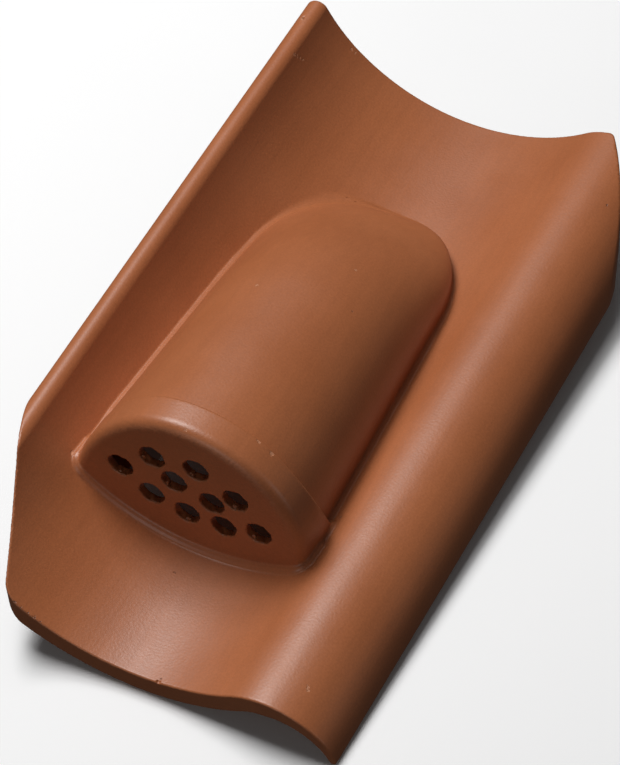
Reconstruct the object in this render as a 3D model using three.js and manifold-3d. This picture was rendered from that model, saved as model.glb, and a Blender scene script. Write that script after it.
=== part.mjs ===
// A clay roof vent tile: a hollow S-shaped tile with a vent hood moulded in its trough, fired as one piece.
// Millimetres. While the tile is shaped, x runs to the right across it from the trough's lowest line,
// y runs up the roof from the tail to the head, and z is up from the line that the tail rests on.
import * as THREE from "three";
import { mergeVertices } from "three/addons/utils/BufferGeometryUtils.js";
import Module from "manifold-3d";

const DEG = Math.PI / 180;

// Tile body: a trough on the left that climbs to the lip, and a roll on the right that laps the next tile.
// The roll is wider and lower at the tail, so that it laps over the roll of the tile below.
const tile_length = 398.5;
const trough_radius = 101.6;
const lip_angle = 63.4 * DEG;
const roll_radius = 36.8;
const roll_radius_at_head = 32.4;
const roll_rise_to_head = 9;
const roll_end_angle = 79.3 * DEG;
const lip_wall = 12.6;
const trough_wall = 12.2;
const roll_wall = 11;
const edge_wall = 3.9;

// The ends are cut slightly out of square: slant is across the tile, and lean is up the cut face.
const head_slant = 0.02;
const tail_slant = -0.011;
const tail_lean = -0.052;

// Corners cut off so that four tiles can meet: width is across the tile, length is along it.
const tail_cut_width = 33.5;
const tail_cut_length = 88.5;
const tail_cut_bulge = 0.2;
const head_cut_width = 33;
const head_cut_length = 80.5;
const head_cut_bulge = 4;

// Vent hood: a half barrel that falls and narrows towards the head and ends in a rounded nose.
const hood_offset = -14.6;
const hood_face_y = 79.1;
const hood_length = 240;
const hood_half_width = 62.5;
const hood_half_width_at_nose = 54.5;
const hood_nose_length = 68;
const hood_axis_height = 23.4;
const hood_axis_fall = 10;
const hood_crest_height = 86.5;
const hood_crest_fall = 35;
const hood_dome_length = 120;
const hood_dome_power = 0.8;
const hood_wall = 9.5;
const face_wall = 5;

// Collar: a raised band round the hood's mouth, with a rounded front edge.
const collar_length = 18.5;
const collar_step = 2.2;
const collar_round = 6;

// Air holes through the hood's front: two rows round the hood's axis, and one that follows the trough.
const hole_radius = 6.75;
const crown_row_radius = 38.9;
const crown_row_start = 147 * DEG;
const crown_row_pitch = 35.7 * DEG;
const crown_row_count = 4;
const middle_row_radius = 23.4;
const middle_row_start = 98 * DEG;
const middle_row_pitch = 53 * DEG;
const middle_row_count = 2;
const floor_row_height = 24.4;
const floor_row_start = -24 * DEG;
const floor_row_pitch = 14.7 * DEG;
const floor_row_count = 4;

// Hanging nib under the head, which hooks over a roof batten.
const nib_face_from_head = 37;
const nib_width = 46;
const nib_height = 16;
const nib_length = 18;

// Smoothness of the curved surfaces.
const trough_steps = 26;
const roll_steps = 14;
const lip_steps = 6;
const hood_steps = 26;
const nose_steps = 12;
const dome_steps = 7;
const collar_round_steps = 4;
const hole_sides = 18;
const cut_steps = 8;

// Clearances that let one solid reach inside or past another before they are joined or cut.
const overlap = 5;
const reach = 30;
const tip_gap = 0.05;
const least_side = 1;
const weld_distance = 1e-5;

const wasm = await Module();
wasm.setup();

function solid_from(geometry) {
  const bare = geometry.clone();
  bare.deleteAttribute("normal");
  bare.deleteAttribute("uv");
  const merged = mergeVertices(bare, weld_distance);
  return new wasm.Manifold(new wasm.Mesh({
    numProp: 3,
    vertProperties: new Float32Array(merged.attributes.position.array),
    triVerts: new Uint32Array(merged.index.array),
  }));
}

function geometry_from(solid) {
  const mesh = solid.getMesh();
  const geometry = new THREE.BufferGeometry();
  geometry.setAttribute("position", new THREE.BufferAttribute(mesh.vertProperties, 3));
  geometry.setIndex(new THREE.BufferAttribute(mesh.triVerts, 1));
  geometry.computeVertexNormals();
  return geometry;
}

// A solid through closed outlines in planes across the tile, which may slant or lean a little. Every outline
// has as many points, and runs clockwise when it is seen from the tail.
function loft(sections) {
  const count = sections[0].points.length;
  const positions = sections.flatMap(({ y, points, slant = 0, lean = 0 }) => (
    points.flatMap((p) => [p.x, y + slant * p.x + lean * p.y, p.y])
  ));
  const index = [];
  for (let s = 0; s + 1 < sections.length; s += 1) {
    for (let i = 0; i < count; i += 1) {
      const j = (i + 1) % count;
      const a = s * count + i;
      const b = s * count + j;
      index.push(a, b, a + count, b, b + count, a + count);
    }
  }
  const last = (sections.length - 1) * count;
  const tail_cap = THREE.ShapeUtils.triangulateShape(sections[0].points, []);
  const head_cap = THREE.ShapeUtils.triangulateShape(sections[sections.length - 1].points, []);
  tail_cap.forEach(([a, b, c]) => index.push(a, b, c));
  head_cap.forEach(([a, b, c]) => index.push(last + a, last + c, last + b));
  const geometry = new THREE.BufferGeometry();
  geometry.setAttribute("position", new THREE.Float32BufferAttribute(positions, 3));
  geometry.setIndex(index);
  return geometry;
}

const steps = (count) => Array.from({ length: count + 1 }, (_, i) => i / count);
const mix = (a, b, t) => a + (b - a) * t;

// Where the roll sits at a distance y from the tail, so that it runs smoothly out of the trough. At the tail
// its edge is level with the trough's underside.
function roll_at(y) {
  const radius = mix(roll_radius, roll_radius_at_head, y / tile_length);
  const z = mix(0, roll_rise_to_head, y / tile_length) - (radius - edge_wall) * Math.cos(roll_end_angle);
  const trough_centre = trough_wall + trough_radius;
  const between = trough_radius + radius;
  const x = Math.sqrt(between ** 2 - (trough_centre - z) ** 2);
  return { x, z, radius, trough_centre, turn: Math.asin(x / between) };
}

// Outline of the tile across its length: along the top from lip to edge, and back along the underside.
function tile_section(y) {
  const roll = roll_at(y);
  const top = [];
  const under = [];
  const add = (x, z, out_x, out_z, wall) => {
    top.push(new THREE.Vector2(x, z));
    under.push(new THREE.Vector2(x + out_x * wall, z + out_z * wall));
  };
  for (const t of steps(trough_steps)) {
    const angle = mix(-lip_angle, roll.turn, t);
    const out_x = Math.sin(angle);
    const out_z = -Math.cos(angle);
    const wall = angle < 0 ? mix(trough_wall, lip_wall, -angle / lip_angle)
      : mix(trough_wall, (trough_wall + roll_wall) / 2, angle / roll.turn);
    add(out_x * trough_radius, roll.trough_centre + out_z * trough_radius, out_x, out_z, wall);
  }
  for (const t of steps(roll_steps).slice(1)) {
    const angle = mix(-roll.turn, roll_end_angle, t);
    const out_x = Math.sin(angle);
    const out_z = Math.cos(angle);
    const wall = angle < 0 ? mix(roll_wall, (trough_wall + roll_wall) / 2, -angle / roll.turn)
      : mix(roll_wall, edge_wall, angle / roll_end_angle);
    add(roll.x + out_x * roll.radius, roll.z + out_z * roll.radius, -out_x, -out_z, wall);
  }
  const lip = [];
  const lip_x = -Math.sin(lip_angle) * (trough_radius + lip_wall / 2);
  const lip_z = roll.trough_centre - Math.cos(lip_angle) * (trough_radius + lip_wall / 2);
  for (const t of steps(lip_steps).slice(1, -1)) {
    const angle = 180 * DEG - lip_angle + t * 180 * DEG;
    lip.push(new THREE.Vector2(
      lip_x + (Math.sin(angle) * lip_wall) / 2,
      lip_z - (Math.cos(angle) * lip_wall) / 2,
    ));
  }
  return [...top, ...under.reverse(), ...lip.reverse()];
}

// Height of the tile's upper surface at a place on it.
function tile_top(x, y) {
  const roll = roll_at(y);
  if (x < trough_radius * Math.sin(roll.turn)) {
    return roll.trough_centre - Math.sqrt(trough_radius ** 2 - x ** 2);
  }
  return roll.z + Math.sqrt(Math.max(roll.radius ** 2 - (x - roll.x) ** 2, 0));
}

// The hood's half width, crest and axis height at a distance y from the tail. Inset is the depth of a
// surface inside the outer one, and a negative inset stands proud of it.
function hood_at(y, inset) {
  const end_y = hood_face_y + hood_length - inset;
  const run = (y - hood_face_y) / hood_length;
  const round = (length) => {
    const past = (y - end_y + length) / length;
    return past > 0 ? Math.max(1 - past ** 2, 0) : 1;
  };
  const nose = Math.sqrt(round(hood_nose_length));
  const dome = round(hood_dome_length) ** hood_dome_power;
  const straight_run = (y - hood_face_y) / (hood_length - hood_nose_length);
  const half_width = mix(hood_half_width, hood_half_width_at_nose, Math.min(straight_run, 1)) - inset;
  return {
    half_width: half_width * nose,
    crest: trough_wall + (hood_crest_height - hood_crest_fall * run - inset) * dome,
    axis: trough_wall + (hood_axis_height - hood_axis_fall * run) * nose,
  };
}

// Outline of the hood across the tile. Its foot is either a height in the clay of the tile or a flat level.
function hood_section(y, inset, foot) {
  const { half_width, crest, axis } = hood_at(y, inset);
  const arch = steps(hood_steps).map((t) => {
    const angle = 180 * DEG * (1 - t);
    const rise = Math.max(crest - axis, overlap / 2);
    return new THREE.Vector2(hood_offset + half_width * Math.cos(angle), axis + rise * Math.sin(angle));
  });
  const base = arch.slice().reverse().map((p) => (
    new THREE.Vector2(p.x, Math.min(foot(p.x, y), p.y - least_side))
  ));
  return { y, points: [...arch, ...base] };
}

const in_the_clay = (x, y) => tile_top(x, y) - overlap;
const far_below = () => -reach;

// Stations along the hood, closer together where its nose rounds off.
function hood_stations(start_y, inset) {
  const end_y = hood_face_y + hood_length - inset;
  const dome_y = end_y - hood_dome_length;
  const nose_y = end_y - hood_nose_length;
  const nose = steps(nose_steps).map((t) => mix(nose_y, end_y - tip_gap, Math.sin(t * 90 * DEG)));
  const dome = steps(dome_steps).slice(0, -1).map((t) => mix(dome_y, nose_y, t));
  return [start_y, ...dome, ...nose];
}

// The cut that takes a corner off: a prism over a triangle whose right angle is at the corner. The side that
// stays is bowed out by the bulge. Width and length are signed, and point from the corner into the tile.
function corner_cut(x, y, width, length, bulge) {
  const out_x = x - Math.sign(width) * overlap;
  const out_y = y - Math.sign(length) * overlap;
  const bow_x = x + width / 2 - Math.sign(width) * 2 * bulge;
  const outline = new THREE.Shape();
  outline.moveTo(out_x, out_y);
  outline.lineTo(x + width, out_y);
  outline.lineTo(x + width, y);
  outline.quadraticCurveTo(bow_x, y + length / 2, x, y + length);
  outline.lineTo(out_x, y + length);
  const prism = new THREE.ExtrudeGeometry(outline, {
    depth: 2 * (trough_radius + reach), bevelEnabled: false, curveSegments: cut_steps,
  });
  return solid_from(prism.translate(0, 0, -reach));
}

function make_body() {
  const lip_x = -Math.sin(lip_angle) * (trough_radius + lip_wall / 2) - lip_wall / 2;
  const head_roll = roll_at(tile_length);
  const edge_x = head_roll.x + head_roll.radius * Math.sin(roll_end_angle);
  const tail_end = { y: 0, points: tile_section(0), slant: tail_slant, lean: tail_lean };
  const head_end = { y: tile_length, points: tile_section(tile_length), slant: head_slant };
  return solid_from(loft([tail_end, head_end]))
    .subtract(corner_cut(lip_x, 0, tail_cut_width, tail_cut_length, tail_cut_bulge))
    .subtract(corner_cut(edge_x, tile_length, -head_cut_width, -head_cut_length, head_cut_bulge));
}

function make_hood() {
  return solid_from(loft(hood_stations(hood_face_y + collar_round, 0)
    .map((y) => hood_section(y, 0, in_the_clay))));
}

function make_collar() {
  const round = steps(collar_round_steps).map((t) => ({
    y: hood_face_y + collar_round * (1 - Math.cos(t * 90 * DEG)),
    inset: collar_round * (1 - Math.sin(t * 90 * DEG)) - collar_step,
  }));
  const back = { y: hood_face_y + collar_length, inset: -collar_step };
  return solid_from(loft([...round, back].map(({ y, inset }) => hood_section(y, inset, in_the_clay))));
}

function make_cavity() {
  return solid_from(loft(hood_stations(hood_face_y + face_wall, hood_wall)
    .map((y) => hood_section(y, hood_wall, far_below))));
}

function make_air_hole(x, z) {
  const drill = new THREE.CylinderGeometry(hole_radius, hole_radius, face_wall + 2 * overlap, hole_sides);
  return solid_from(drill.translate(x, hood_face_y + face_wall / 2, z));
}

function air_hole_places() {
  const axis = { x: hood_offset, z: trough_wall + hood_axis_height };
  const trough = { x: 0, z: trough_wall + trough_radius };
  const row = (centre, radius, start, pitch, count) => Array.from({ length: count }, (_, i) => ({
    x: centre.x + radius * Math.cos(start + pitch * i),
    z: centre.z + radius * Math.sin(start + pitch * i),
  }));
  return [
    ...row(axis, crown_row_radius, crown_row_start, -crown_row_pitch, crown_row_count),
    ...row(axis, middle_row_radius, middle_row_start, -middle_row_pitch, middle_row_count),
    ...row(trough, trough_radius - floor_row_height, floor_row_start - 90 * DEG, floor_row_pitch,
      floor_row_count),
  ];
}

// The tile lies on its tail and its nib, so it is tipped by this much when it stands on the ground, and the
// nib's foot is cut to that slope.
const nib_face_y = tile_length - nib_face_from_head;
const tip_angle = Math.atan2(nib_height, nib_face_y);

function make_nib() {
  const back_y = nib_face_y + nib_length;
  const outline = new THREE.Shape([
    new THREE.Vector2(nib_face_y, trough_wall / 2),
    new THREE.Vector2(nib_face_y, -nib_height),
    new THREE.Vector2(back_y, -back_y * Math.tan(tip_angle)),
    new THREE.Vector2(back_y, trough_wall / 2),
  ]);
  const bar = new THREE.ExtrudeGeometry(outline, { depth: nib_width, bevelEnabled: false });
  bar.rotateY(90 * DEG).rotateX(90 * DEG);
  return solid_from(bar.translate(-nib_width / 2, 0, 0));
}

function make_vent_tile() {
  const drilled = air_hole_places().reduce((solid, { x, z }) => solid.subtract(make_air_hole(x, z)),
    make_body().add(make_hood()).add(make_collar()).subtract(make_cavity()));
  return drilled.add(make_nib());
}

const fired_clay = new THREE.MeshStandardMaterial({ color: "#a45f43", roughness: 0.62, metalness: 0 });
const vent_tile = new THREE.Mesh(geometry_from(make_vent_tile()), fired_clay);
vent_tile.name = "vent_tile";
vent_tile.rotation.x = tip_angle;

// The finished tile stands with the middle of its footprint at the origin.
const part = new THREE.Group();
part.add(vent_tile);
const box = new THREE.Box3().setFromObject(part, true);
vent_tile.position.set(-(box.min.x + box.max.x) / 2, -(box.min.y + box.max.y) / 2, -box.min.z);

export default part;
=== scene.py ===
from math import atan2, cos, hypot, radians, sin, sqrt

import bpy
import numpy as np
from mathutils import Matrix, Vector


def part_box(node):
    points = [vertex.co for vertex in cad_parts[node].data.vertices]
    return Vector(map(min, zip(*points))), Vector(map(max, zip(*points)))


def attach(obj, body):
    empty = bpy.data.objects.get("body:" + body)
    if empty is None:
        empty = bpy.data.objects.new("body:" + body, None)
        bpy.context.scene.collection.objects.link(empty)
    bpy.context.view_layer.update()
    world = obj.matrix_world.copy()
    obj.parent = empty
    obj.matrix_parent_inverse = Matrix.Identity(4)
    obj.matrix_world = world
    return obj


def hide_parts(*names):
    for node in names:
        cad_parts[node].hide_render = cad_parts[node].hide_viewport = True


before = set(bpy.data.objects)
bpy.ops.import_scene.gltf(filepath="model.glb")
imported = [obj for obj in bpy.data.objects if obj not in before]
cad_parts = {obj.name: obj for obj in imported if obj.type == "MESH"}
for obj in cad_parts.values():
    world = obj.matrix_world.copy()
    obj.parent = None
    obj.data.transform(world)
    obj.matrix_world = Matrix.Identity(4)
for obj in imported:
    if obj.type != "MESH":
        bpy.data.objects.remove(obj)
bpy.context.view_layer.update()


# Vent tile
# One piece of red fired clay. The body is pressed with a trough, a round lip on the left and a roll on the right
# that laps the next tile. A vent hood is luted into the trough and a hanging nib is set under the head.

# While the clay is worked, x runs across the tile from the trough's lowest line, y runs up the roof from the
# tail, and z is up, in millimetres. The finished tile lies on its tail and its nib, so it is tipped a little.
nib_face_y = 361.5
nib_height = 16
tip_angle = atan2(nib_height, nib_face_y)
lip_angle = radians(63.4)
lip_wall = 12.6
trough_radius = 101.6
lip_reach = sin(lip_angle) * (trough_radius + lip_wall / 2) + lip_wall / 2
tail_reach = 3.74
foot_lift = 0.05

low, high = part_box("vent_tile")
tile_place = Matrix.Translation((
    low.x + lip_reach / 1000, low.y + tail_reach / 1000, low.z + foot_lift / 1000,
)) @ Matrix.Rotation(tip_angle, 4, "X") @ Matrix.Scale(0.001, 4)

# Each form is described as a depth in the clay, below zero inside it and above zero in the air. The forms are
# joined and cut as the clay is, and then skinned.
tile_length = 398.5
roll_radius = 36.8
roll_radius_at_head = 32.4
roll_rise_to_head = 9
roll_end_angle = radians(79.3)
trough_wall = 12.2
roll_wall = 11
edge_wall = 3.9
head_slant = 0.02
tail_slant = -0.011
tail_lean = -0.052
end_arris = 1.1
trough_centre = trough_wall + trough_radius


def eased_meet(a, b, ease):
    """What two shapes share, with its outer arris rounded."""
    over_a = np.maximum(a + ease, 0)
    over_b = np.maximum(b + ease, 0)
    return np.minimum(np.maximum(a, b), -ease) + np.hypot(over_a, over_b)


def filleted_join(a, b, fillet):
    """Two shapes joined, with clay wiped round into the corner between them."""
    under_a = np.maximum(fillet - a, 0)
    under_b = np.maximum(fillet - b, 0)
    return np.maximum(np.minimum(a, b), fillet) - np.hypot(under_a, under_b)


def share(start, end, value):
    """How far a value lies between two others, held between none and all."""
    return np.clip((value - start) / (end - start), 0, 1)


def tile_wall(x, y, z):
    """The S-shaped tile between its upper and lower surfaces, before its ends are cut."""
    run = y / tile_length
    radius = roll_radius + (roll_radius_at_head - roll_radius) * run
    roll_z = roll_rise_to_head * run - (radius - edge_wall) * cos(roll_end_angle)
    between = trough_radius + radius
    roll_x = np.sqrt(between ** 2 - (trough_centre - roll_z) ** 2)
    joint = np.arcsin(roll_x / between)
    joint_wall = (trough_wall + roll_wall) / 2

    trough_turn = np.arctan2(x, trough_centre - z)
    trough_depth = np.hypot(x, z - trough_centre) - trough_radius
    side_wall = trough_wall + (lip_wall - trough_wall) * share(0, lip_angle, -trough_turn)
    side_wall = side_wall + (joint_wall - trough_wall) * np.clip(trough_turn / joint, 0, 1)
    trough = np.maximum(-trough_depth, trough_depth - side_wall)
    lip_middle = trough_radius + lip_wall / 2
    lip = np.hypot(
        x + lip_middle * sin(lip_angle), z - trough_centre + lip_middle * cos(lip_angle),
    ) - lip_wall / 2
    trough = np.where(trough_turn < -lip_angle, lip, trough)

    roll_turn = np.arctan2(x - roll_x, z - roll_z)
    roll_depth = radius - np.hypot(x - roll_x, z - roll_z)
    roll_side = roll_wall + (joint_wall - roll_wall) * np.clip(-roll_turn / joint, 0, 1)
    edge_middle = radius - edge_wall / 2
    edge_turn = np.arccos((edge_wall / 2 - roll_z) / edge_middle)
    roll_side = roll_side + (edge_wall - roll_wall) * np.clip(roll_turn / edge_turn, 0, 1)
    roll = np.maximum(-roll_depth, roll_depth - roll_side)
    edge = np.hypot(
        x - roll_x - edge_middle * np.sin(edge_turn), z - roll_z - edge_middle * np.cos(edge_turn),
    ) - edge_wall / 2
    roll = np.where(roll_turn > edge_turn, edge, roll)
    past_joint = roll_x * (trough_centre - z) - (trough_centre - roll_z) * x < 0
    return np.where(past_joint, roll, trough)


# The tail's left corner and the head's right corner are cut off, so that four tiles can meet.
tail_cut_width = 33.5
tail_cut_length = 88.5
tail_cut_bulge = 0.2
head_cut_width = 33
head_cut_length = 80.5
head_cut_bulge = 4
cut_corner = 7
head_edge_x = 108


def cut_line(x, y, corner_x, corner_y, width, length, bulge):
    """Distance past a bowed line that cuts a corner off. Width and length point into the tile."""
    side = hypot(width, length)
    along = ((x - corner_x - width) * -width + (y - corner_y) * length) / side ** 2
    inward = ((x - corner_x - width) * abs(length) * np.sign(width) + (y - corner_y) * abs(width)
              * np.sign(length)) / side
    bow = 4 * bulge * np.clip(along, 0, 1) * (1 - np.clip(along, 0, 1))
    return -inward - bow


def tile_body(x, y, z):
    """The tile wall with its ends and corners cut and its arrises worn."""
    tail = tail_slant * x + tail_lean * z - y
    head = y - tile_length - head_slant * x
    tail_corner = cut_line(x, y, -lip_reach, 0, tail_cut_width, tail_cut_length, tail_cut_bulge)
    head_corner = cut_line(x, y, head_edge_x, tile_length, -head_cut_width, -head_cut_length, head_cut_bulge)
    ends = np.maximum(eased_meet(tail, tail_corner, cut_corner), eased_meet(head, head_corner, cut_corner / 3))
    return eased_meet(tile_wall(x, y, z), ends, end_arris)


# The hood is a half barrel that falls and narrows towards the head and ends in a rounded nose. Its left
# shoulder is pressed a little flatter than its right one.
left_shoulder_drop = 0.4
hood_x = -14.6
hood_face_y = 79.1
hood_length = 240
hood_half_width = 62.5
hood_half_width_at_nose = 54.5
hood_nose_length = 68
hood_axis_height = 23.4
hood_axis_fall = 10
hood_crest_height = 86.5
hood_crest_fall = 35
hood_dome_length = 120
hood_dome_power = 0.8
hood_wall = 9.5
lowest_rise = 2.5
smallest_share = 0.0004


def hood_reach(x, y, z, inset):
    """How far out a point lies as a share of the hood's reach, how fast that grows across and up, and its plan."""
    end_y = hood_face_y + hood_length - inset
    run = (y - hood_face_y) / hood_length
    nose_past = np.maximum((y - end_y) / hood_nose_length + 1, 0)
    dome_past = np.maximum((y - end_y) / hood_dome_length + 1, 0)
    nose = np.sqrt(np.maximum(1 - nose_past ** 2, smallest_share))
    dome = np.maximum(1 - dome_past ** 2, smallest_share) ** hood_dome_power
    straight = np.minimum((y - hood_face_y) / (hood_length - hood_nose_length), 1)
    half_width = hood_half_width + (hood_half_width_at_nose - hood_half_width) * straight - inset
    crest = trough_wall + (hood_crest_height - hood_crest_fall * run - inset) * dome
    axis = trough_wall + (hood_axis_height - hood_axis_fall * run) * nose
    rise = np.maximum(crest - axis, lowest_rise) / nose
    across = (x - hood_x) / half_width
    up = np.maximum(z - axis, 0) / rise
    drop = np.where(x < hood_x, left_shoulder_drop, 0)
    reach = np.sqrt(across ** 2 * (1 + drop * up) + nose_past ** 2 + up ** 2 + 1e-6)
    slope_x = across * (1 + drop * up) / half_width / reach
    slope_z = (up + drop * across ** 2 / 2) / rise / reach
    return reach, slope_x, slope_z, np.hypot(across, nose_past)


def hood_shell(x, y, z, inset):
    """The hood's outer form, or with an inset the form of the hollow under it, open below."""
    ahead = 0.1
    flattest = 0.004
    reach, slope_x, slope_z, plan = hood_reach(x, y, z, inset)
    slope_y = (hood_reach(x, y + ahead, z, inset)[0] - reach) / ahead
    away = (reach - 1) / np.sqrt(slope_x ** 2 + slope_y ** 2 + slope_z ** 2 + flattest ** 2)
    beside = (plan - 1) * (hood_half_width_at_nose - inset)
    return np.where(plan > 1, np.maximum(away, beside), away)


# A raised collar runs round the hood's mouth. The front is closed and pierced by rows of air holes.
collar_length = 18.5
collar_step = 2.2
collar_flare = 0.12
collar_fade_start = -34
collar_fade_end = -72
collar_round = 6
collar_back_ease = 1.2
collar_fillet = 0.8
collar_foot = 13
collar_foot_top = 75
collar_foot_bottom = 25
face_wall = 5
nose_trim = 1.5
nose_ease = 3
face_arris = 1.2
hole_radius = 6.75
hole_ease = 0.7
hole_drag = 0.3
hole_ripple = 0.12


def row_of_holes(centre, radius, start, pitch, count):
    """Air holes set round an arc, as places across and up."""
    turns = [radians(start + pitch * i) for i in range(count)]
    return [(centre[0] + radius * cos(t), centre[1] + radius * sin(t)) for t in turns]


hood_axis = (hood_x, trough_wall + hood_axis_height)
air_holes = (
    row_of_holes(hood_axis, 38.9, 147, -35.7, 4)
    + row_of_holes(hood_axis, 23.4, 98, -53, 2)
    + row_of_holes((0, trough_centre), trough_radius - 24.4, -114, 14.7, 4)
)


def hood_outside(x, y, z):
    """The hood with its collar and flat front, as a solid lump. The collar's right foot spreads backwards."""
    barrel = eased_meet(hood_shell(x, y, z, 0), y - hood_face_y - hood_length + nose_trim, nose_ease)
    front = hood_face_y - y
    spread = np.where(x > hood_x, share(collar_foot_top, collar_foot_bottom, z), 0)
    back = y - hood_face_y - collar_length - collar_foot * spread ** 2
    step_up = collar_step + collar_flare * (np.clip(y - hood_face_y, 0, collar_length) - collar_length / 2)
    step_up = step_up * (1 - share(collar_fade_start, collar_fade_end, x))
    collar = eased_meet(barrel - step_up, front, collar_round)
    collar = eased_meet(collar, back, collar_back_ease)
    behind = np.maximum(barrel, hood_face_y + collar_round - y)
    under_trough = np.hypot(x, z - trough_centre) - trough_radius - trough_wall / 2
    return np.maximum(filleted_join(behind, collar, collar_fillet), under_trough)


# Under the hood the roof's air comes up to the holes.
haunch_x = -52
haunch_z = 36


def hood_hollow(x, y, z):
    """The air space under the hood, open to the roof below. Clay fills the corner inside its left foot."""
    beside = haunch_x - x
    haunch = np.minimum(beside, (beside - z + haunch_z) / sqrt(2))
    return np.maximum(np.maximum(hood_shell(x, y, z, hood_wall), hood_face_y + face_wall - y), haunch)


def holes_in_front(x, y, z):
    """The air holes, as rods that reach through the front. Wet clay drags, so they are a little out of round."""
    rods = np.min([np.hypot(x - hx, z - hz) for hx, hz in air_holes], axis=0) - hole_radius
    drag = hole_drag * np.sin(0.9 * x + 0.3 * y) * np.sin(0.8 * z + 0.5 * y)
    drag = drag + hole_ripple * np.sin(2.1 * x + 1.9 * z + 0.6 * y)
    return np.maximum(rods + drag, y - hood_face_y - 2 * face_wall)


# Crumbs of clay that the punch left in some holes, by the hole's number and the turn where they hang.
crumbs = ((0, 4.4), (1, 3.7), (2, 4.2), (3, 4.5), (4, 3.9), (7, 4.6), (9, 4.1))
crumb_radius = 1.0
crumb_depth = 3
crumb_half_length = 1.6


def crumbs_in_holes(x, y, z):
    """Low ridges along the walls of the air holes."""
    ridges = [
        np.hypot(x - air_holes[i][0] - hole_radius * cos(t), z - air_holes[i][1] - hole_radius * sin(t))
        for i, t in crumbs
    ]
    ends = np.abs(y - hood_face_y - crumb_depth) - crumb_half_length
    return np.maximum(np.min(ridges, axis=0) - crumb_radius, ends)


# The nib under the head hooks over a roof batten.
nib_width = 46
nib_length = 18
nib_arris = 1.5
nib_fillet = 4


def nib(x, y, z):
    """The hanging nib: a block with worn arrises, cut level below."""
    foot = -z - y * nib_height / nib_face_y
    sides = np.abs(x) - nib_width / 2
    ends = np.abs(y - nib_face_y - nib_length / 2) - nib_length / 2
    block = eased_meet(eased_meet(sides, ends, nib_arris), foot * cos(tip_angle), nib_arris)
    return np.maximum(block, z - trough_wall / 2)


# A bead of slip stands along the hood's seam. It thins behind the collar and runs out before the nose, where
# the seam is wiped soft on the left and left crisp on the right.
seam_fillet = 1.0
nose_fillet = 5
bead_stations = (hood_face_y, 95, 98, 107, 117, 235, 299)
bead_sizes = (2.4, 2.3, 1.3, 1.5, 2.1, 1.9, 0)
bead_ease = 1.4
wiped_reach = 34
nicks = ((11.5, 0.0, 13.1, 1.1), (-60.8, 84.7, 50.5, 1.2), (-98.4, 380.4, 72.2, 1.3))


def clay(x, y, z):
    """Depth in the clay of the whole tile."""
    body = tile_body(x, y, z)
    hood = hood_outside(x, y, z)
    wiped = share(bead_stations[-2], bead_stations[-1], y) * share(hood_x + wiped_reach, hood_x, x)
    whole = filleted_join(body, hood, seam_fillet + (nose_fillet - seam_fillet) * wiped)
    bead = np.hypot(body, hood) - np.interp(y, bead_stations, bead_sizes)
    whole = filleted_join(whole, bead, bead_ease)
    whole = eased_meet(whole, -hood_hollow(x, y, z), face_arris)
    whole = eased_meet(whole, -holes_in_front(x, y, z), hole_ease)
    whole = np.minimum(whole, crumbs_in_holes(x, y, z))
    for nx, ny, nz, size in nicks:
        whole = np.maximum(whole, size - np.sqrt((x - nx) ** 2 + (y - ny) ** 2 + (z - nz) ** 2))
    return filleted_join(whole, nib(x, y, z), nib_fillet)


def spaced(*stretches):
    """Stations along one direction, from (start, end, step) stretches that follow on."""
    stations = [np.arange(start, end, step) for start, end, step in stretches]
    return np.concatenate([*stations, [stretches[-1][1]]])


def skin(xs, ys, zs):
    """A closed skin of quads over the clay: one point in each cell that the surface crosses."""
    depth = np.empty((len(xs), len(ys), len(zs)), np.float32)
    at_a_time = 16
    for first in range(0, len(ys), at_a_time):
        slab = ys[first:first + at_a_time]
        depth[:, first:first + at_a_time] = clay(xs[:, None, None], slab[None, :, None], zs[None, None, :])
    inside = depth < 0
    filled = sum(
        inside[i:len(xs) - 1 + i, j:len(ys) - 1 + j, k:len(zs) - 1 + k].astype(np.uint8)
        for i in (0, 1) for j in (0, 1) for k in (0, 1)
    )
    crossed = (filled > 0) & (filled < 8)
    cell = np.argwhere(crossed)
    total = np.zeros((len(cell), 3))
    count = np.zeros(len(cell))
    for axis in range(3):
        for a in (0, 1):
            for b in (0, 1):
                start = cell.copy()
                start[:, (axis + 1) % 3] += a
                start[:, (axis + 2) % 3] += b
                end = start.copy()
                end[:, axis] += 1
                at_start = depth[tuple(start.T)]
                at_end = depth[tuple(end.T)]
                cuts = (at_start < 0) != (at_end < 0)
                part = np.where(cuts, at_start / np.where(cuts, at_start - at_end, 1), 0)[:, None]
                p = np.stack([xs[start[:, 0]], ys[start[:, 1]], zs[start[:, 2]]], 1)
                q = np.stack([xs[end[:, 0]], ys[end[:, 1]], zs[end[:, 2]]], 1)
                total += np.where(cuts[:, None], p + (q - p) * part, 0)
                count += cuts
    points = total / count[:, None]
    number = np.full(crossed.shape, -1, np.int32)
    number[crossed] = np.arange(len(cell))
    quads = []
    for axis in range(3):
        one, two = (axis + 1) % 3, (axis + 2) % 3
        low_side = np.take(inside, range(inside.shape[axis] - 1), axis)
        high_side = np.take(inside, range(1, inside.shape[axis]), axis)
        edge = np.argwhere(low_side != high_side)
        leaving = low_side[tuple(edge.T)]
        ring = []
        for a, b in ((-1, -1), (0, -1), (0, 0), (-1, 0)):
            near = edge.copy()
            near[:, one] += a
            near[:, two] += b
            ring.append(number[tuple(near.T)])
        ring = np.stack(ring, 1)
        quads.append(np.where(leaving[:, None], ring, ring[:, ::-1]))
    return points, np.concatenate(quads)


def slope(points, reach=0.05):
    """Depth at points on the clay, and the direction in which it falls off."""
    x, y, z = points.T
    here = clay(x, y, z)
    grade = np.stack([
        clay(x + reach, y, z) - clay(x - reach, y, z),
        clay(x, y + reach, z) - clay(x, y - reach, z),
        clay(x, y, z + reach) - clay(x, y, z - reach),
    ], 1) / (2 * reach)
    return here, grade


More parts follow.
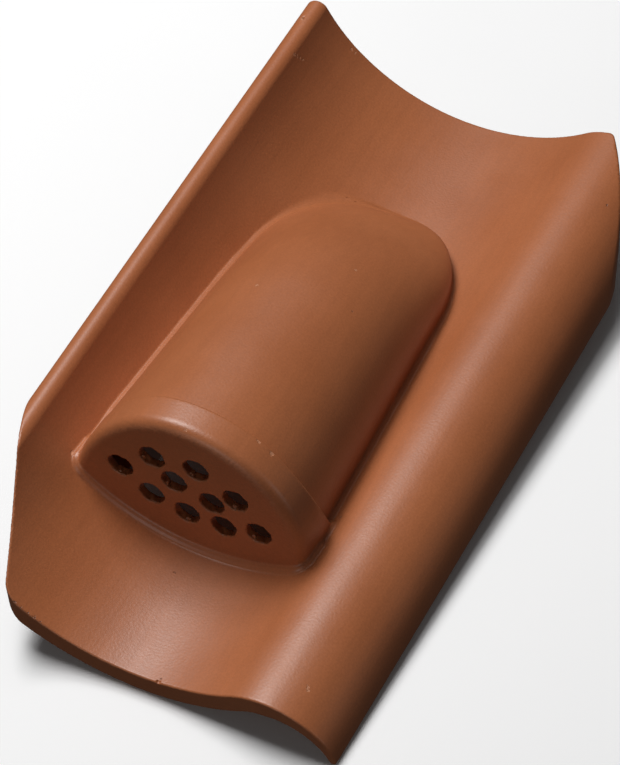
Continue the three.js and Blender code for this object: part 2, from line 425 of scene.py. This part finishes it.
def settle(points, rounds=3):
    """Points moved along the slope until they lie on the clay's surface."""
    least_steep = 0.2
    longest_move = 0.6
    for _ in range(rounds):
        here, grade = slope(points)
        steep = np.maximum((grade ** 2).sum(1), least_steep)
        move = grade * (here / steep)[:, None]
        length = np.linalg.norm(move, axis=1)
        points = points - move * np.minimum(1, longest_move / np.maximum(length, 1e-9))[:, None]
    return points


# The stations reach a little past the clay. They lie close at both ends and round the hood's front, wider along
# the hood and widest where the tile only runs straight.
step = 1.0
wide = 1.6 * step
widest = 2.5 * step
xs = spaced((-108, 112, step))
zs = spaced((-20, 105, step))
ys = spaced(
    (-8, 4, step), (4, 70, widest), (70, 112, step), (112, 330, wide), (330, 394, widest), (394, 406, step),
)
points, quads = skin(xs, ys, zs)
points = settle(points, 1)


def mesh_from(name, points, quads):
    """A Blender mesh from numbered points and quads."""
    mesh = bpy.data.meshes.new(name)
    mesh.vertices.add(len(points))
    mesh.vertices.foreach_set("co", np.asarray(points, np.float32).ravel())
    mesh.loops.add(quads.size)
    mesh.loops.foreach_set("vertex_index", quads.astype(np.int32).ravel())
    mesh.polygons.add(len(quads))
    mesh.polygons.foreach_set("loop_start", np.arange(0, quads.size, 4, dtype=np.int32))
    mesh.update(calc_edges=True)
    mesh.validate()
    return mesh


tile_mesh = mesh_from("fired_clay_tile", points, quads)
tile = bpy.data.objects.new("fired_clay_tile", tile_mesh)
bpy.context.scene.collection.objects.link(tile)
most_triangles = 190000
if len(quads) * 2 > most_triangles:
    thin = tile.modifiers.new("thin", "DECIMATE")
    thin.ratio = most_triangles / (2 * len(quads))
    tile.data = bpy.data.meshes.new_from_object(tile.evaluated_get(bpy.context.evaluated_depsgraph_get()))
    tile.modifiers.clear()
flat = np.empty(len(tile.data.vertices) * 3)
tile.data.vertices.foreach_get("co", flat)
points = settle(flat.reshape(-1, 3))
tile.data.vertices.foreach_set("co", points.ravel())
tile.data.transform(tile_place)
tile.data.shade_smooth()

# The clay's own slope gives each point its shading, so that long thin faces don't show.
facing = slope(points)[1] @ np.array(Matrix.Rotation(tip_angle, 3, "X")).T
facing /= np.linalg.norm(facing, axis=1)[:, None]
tile.data.normals_split_custom_set_from_vertices(facing)

# The clay is red-brown under a thin satin slip: cloudy from the kiln, fine-grained, and wiped lengthwise.
fired = bpy.data.materials.new("fired_clay")
fired.use_nodes = True
shader = fired.node_tree.nodes["Principled BSDF"]


def shade_node(kind, sockets, **settings):
    """A shader node, with each of its sockets set to a value or joined to another node's output."""
    made = fired.node_tree.nodes.new("ShaderNode" + kind)
    for name, value in settings.items():
        setattr(made, name, value)
    for name, value in sockets.items():
        if isinstance(value, bpy.types.NodeSocket):
            fired.node_tree.links.new(value, made.inputs[name])
        else:
            made.inputs[name].default_value = value
    return made


def cloud(place, size, detail, low_end, high_end):
    """Noise with lumps of about the given size in millimetres, spread between two values."""
    noise = shade_node("TexNoise", {"Vector": place, "Scale": 1000 / size, "Detail": detail, "Roughness": 0.55})
    spread = {"Value": noise.outputs[0], "From Min": 0.32, "From Max": 0.68, "To Min": low_end, "To Max": high_end}
    return shade_node("MapRange", spread).outputs[0]


def maths(operation, a, b):
    """Two values put together."""
    return shade_node("Math", {0: a, 1: b}, operation=operation).outputs[0]


place = shade_node("TexCoord", {}).outputs["Object"]
lengthwise = shade_node("Mapping", {"Vector": place, "Scale": (1, 0.05, 1)}).outputs[0]
darker_clay = (0.378, 0.118, 0.042, 1)
paler_clay = (0.425, 0.138, 0.051, 1)
kiln_cloud = cloud(place, 70, 3, 0, 1)
grain = cloud(place, 1.1, 2, 0.94, 1.06)
wiping = cloud(lengthwise, 5, 3, 0.97, 1.03)
tone = shade_node("Mix", {0: kiln_cloud, 6: darker_clay, 7: paler_clay}, data_type="RGBA")
body_tone = shade_node(
    "VectorMath", {0: tone.outputs[2], "Scale": maths("MULTIPLY", grain, wiping)}, operation="SCALE",
).outputs[0]

# Small chips show paler clay. Small pits are painted near black, which is painted shade inside them. They follow
# the real tile's, as places on its plan in whole millimetres.
small_chip = 0.7
large_chip = 1.1
pit = 0.55
mark_edge = 0.3
chip_clay = (0.62, 0.28, 0.15, 1)
painted_pit_shade = (0.07, 0.025, 0.012, 1)


def row_of_marks(start, end, count):
    """Places on the tile's plan in a straight row."""
    return [tuple(Vector(start).lerp(Vector(end), i / (count - 1))) for i in range(count)]


small_chips = (
    row_of_marks((-91, 357), (-88, 360), 4) + row_of_marks((-76, 393), (-74, 393), 2)
    + row_of_marks((84, 15), (83, 17), 3) + [(-29, 192), (-59, 228), (7, 229), (-9, 82)]
)
large_chips = row_of_marks((21, 97), (28, 96), 2) + [(-98, 380), (-77, 83)]
pits = row_of_marks((-67, 0), (-51, 0), 6) + [(90, 353), (12, 2), (-12, 61), (52, 115), (18, 202)]


def landed(places):
    """Places on the tile's plan, let down onto its upper side."""
    over_the_tile = 110.0
    most_steps = 150
    x, y = np.array(places, float).T
    z = np.full(len(places), over_the_tile)
    for _ in range(most_steps):
        z -= np.clip(clay(x, y, z), -1, 1)
    return [tile_place @ Vector(spot) for spot in np.stack([x, y, z], 1)]


ruffled = shade_node("TexNoise", {"Vector": place, "Scale": 900, "Detail": 2})
ruffle = shade_node("VectorMath", {0: ruffled.outputs["Color"], 1: (0.5, 0.5, 0.5)}, operation="SUBTRACT").outputs[0]
ragged_place = shade_node(
    "VectorMath", {0: ruffle, 1: (0.003, 0.003, 0.003), 2: place}, operation="MULTIPLY_ADD",
).outputs[0]


def marked(places, radius):
    """A mask that is one within the marks, with a soft edge."""
    outer = radius * (1 + mark_edge) / 1000
    inner = radius * (1 - mark_edge) / 1000
    mask = 0.0
    for spot in landed(places):
        away = shade_node("VectorMath", {0: ragged_place, 1: tuple(spot)}, operation="DISTANCE").outputs["Value"]
        near = {"Value": away, "From Min": outer, "From Max": inner, "To Min": 0, "To Max": 1}
        mask = maths("MAXIMUM", shade_node("MapRange", near).outputs[0], mask)
    return mask


chipped = maths("MAXIMUM", marked(small_chips, small_chip), marked(large_chips, large_chip))
pitted = marked(pits, pit)
chip_share = maths("MULTIPLY", chipped, 0.65)
# Painted shade: the pits are darkened almost to black, as if no light reached into them.
pit_shade_share = maths("MULTIPLY", pitted, 0.7)
chip_tone = shade_node("Mix", {0: chip_share, 6: body_tone, 7: chip_clay}, data_type="RGBA").outputs[2]
pit_shade_tone = shade_node("Mix", {0: pit_shade_share, 6: chip_tone, 7: painted_pit_shade}, data_type="RGBA").outputs[2]
fired.node_tree.links.new(pit_shade_tone, shader.inputs["Base Color"])
shader.inputs["Specular IOR Level"].default_value = 0.62

# The ends and the hood's front are cut with a wire, so they are rougher than the wiped faces.
facing_y = shade_node("SeparateXYZ", {0: shade_node("NewGeometry", {}).outputs["True Normal"]}).outputs[1]
endways = {"Value": maths("ABSOLUTE", facing_y, 0), "From Min": 0.8, "From Max": 0.93, "To Min": 0, "To Max": 1}
cut_face = shade_node("MapRange", endways).outputs[0]
satin = cloud(place, 25, 3, 0.38, 0.44)
rougher = maths("MAXIMUM", maths("MULTIPLY", cut_face, 0.16), maths("MULTIPLY", chipped, 0.3))
fired.node_tree.links.new(maths("ADD", satin, rougher), shader.inputs["Roughness"])

# The grain, the wiping and the marks also stand out or sink in by hundredths of a millimetre.
relief = maths("ADD", cloud(place, 1.3, 2, 0, 0.5), cloud(lengthwise, 4, 2, 0, 0.35))
torn = maths("MULTIPLY", cut_face, cloud(place, 3, 3, 0, 2.2))
sunk = maths("MULTIPLY", maths("MAXIMUM", chipped, pitted), -5)
height = maths("ADD", maths("ADD", relief, torn), sunk)
bump = shade_node("Bump", {"Height": height, "Strength": 0.5, "Distance": 0.00012})
fired.node_tree.links.new(bump.outputs[0], shader.inputs["Normal"])

tile.data.materials.clear()
tile.data.materials.append(fired)
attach(tile, "root")
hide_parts("vent_tile")


# Floor
# A plain white surface that the tile lies on. It takes shadows, but it is hidden from bounced and mirrored
# light, because it would brighten the tile's flanks too much.
floor_size = 6
floor_data = bpy.data.meshes.new("floor")
floor_data.from_pydata(
    [(x * floor_size, y * floor_size, 0) for x, y in ((-1, -1), (1, -1), (1, 1), (-1, 1))], [], [(0, 1, 2, 3)],
)
floor = bpy.data.objects.new("floor", floor_data)
bpy.context.scene.collection.objects.link(floor)
pale = bpy.data.materials.new("pale_floor")
pale.use_nodes = True
pale_shader = pale.node_tree.nodes["Principled BSDF"]
pale_shader.inputs["Base Color"].default_value = (1, 1, 1, 1)
pale_shader.inputs["Roughness"].default_value = 0.9
floor_data.materials.append(pale)
floor.visible_diffuse = False
floor.visible_glossy = False


# Lights
# Soft lights hang high on the tile's left, as the gleams in the trough and on the roll show. Colours are shown
# as they are, without a film curve, so that the clay and the white ground keep the photograph's tones.
bpy.context.scene.view_settings.view_transform = "Standard"


def soft_light(name, azimuth, elevation, distance, size, power):
    """A square soft light that looks at the tile from a direction, with azimuth from +Y towards +X."""
    data = bpy.data.lights.new(name, "AREA")
    data.size = size
    data.energy = power
    light = bpy.data.objects.new(name, data)
    bpy.context.scene.collection.objects.link(light)
    a, e = radians(azimuth), radians(elevation)
    spot = Vector((sin(a) * cos(e), cos(a) * cos(e), sin(e))) * distance
    light.location = spot
    light.rotation_euler = (-spot).to_track_quat("-Z", "Y").to_euler()
    return light


soft_light("high_left", -90, 65, 2.2, 0.6, 17)
soft_light("top_left", -90, 77, 2.2, 0.8, 11)
soft_light("back_left", -55, 64, 2.2, 0.6, 15.5)
soft_light("back", -30, 62, 2.2, 0.8, 2.5)
soft_light("front_fill", 180, 14, 2.2, 0.8, 4)
soft_light("right_fill", 90, 15, 2.2, 0.8, 2)
world = bpy.data.worlds.new("studio")
bpy.context.scene.world = world
world.use_nodes = True
world.node_tree.nodes["Background"].inputs["Color"].default_value = (1, 1, 1, 1)
world.node_tree.nodes["Background"].inputs["Strength"].default_value = 0.035


# Camera
# The photograph looks down on the tail end from the right, with the camera turned a little on its axis. Its
# place is given in the tile's own frame, in millimetres.
camera_spot = Vector((562.7, -797.3, 1330.4))
camera_azimuth = radians(29.77)
camera_elevation = radians(49.01)
camera_roll = radians(-4.53)
camera_lens = 162.1
camera_sensor = 36
camera_sight = 20

camera_data = bpy.data.cameras.new("camera")
camera_data.lens = camera_lens
camera_data.sensor_width = camera_sensor
camera_data.clip_end = camera_sight
camera = bpy.data.objects.new("camera", camera_data)
bpy.context.scene.collection.objects.link(camera)
bpy.context.scene.camera = camera
level = Vector((cos(camera_azimuth), sin(camera_azimuth), 0))
ahead = Vector((
    -sin(camera_azimuth) * cos(camera_elevation), cos(camera_azimuth) * cos(camera_elevation),
    -sin(camera_elevation),
))
above = level.cross(ahead)
picture_right = level * cos(camera_roll) + above * sin(camera_roll)
picture_up = above * cos(camera_roll) - level * sin(camera_roll)
turn = Matrix((picture_right, picture_up, -ahead)).transposed().to_4x4()
camera.matrix_world = Matrix.Translation(tile_place @ camera_spot) @ Matrix.Rotation(tip_angle, 4, "X") @ turn
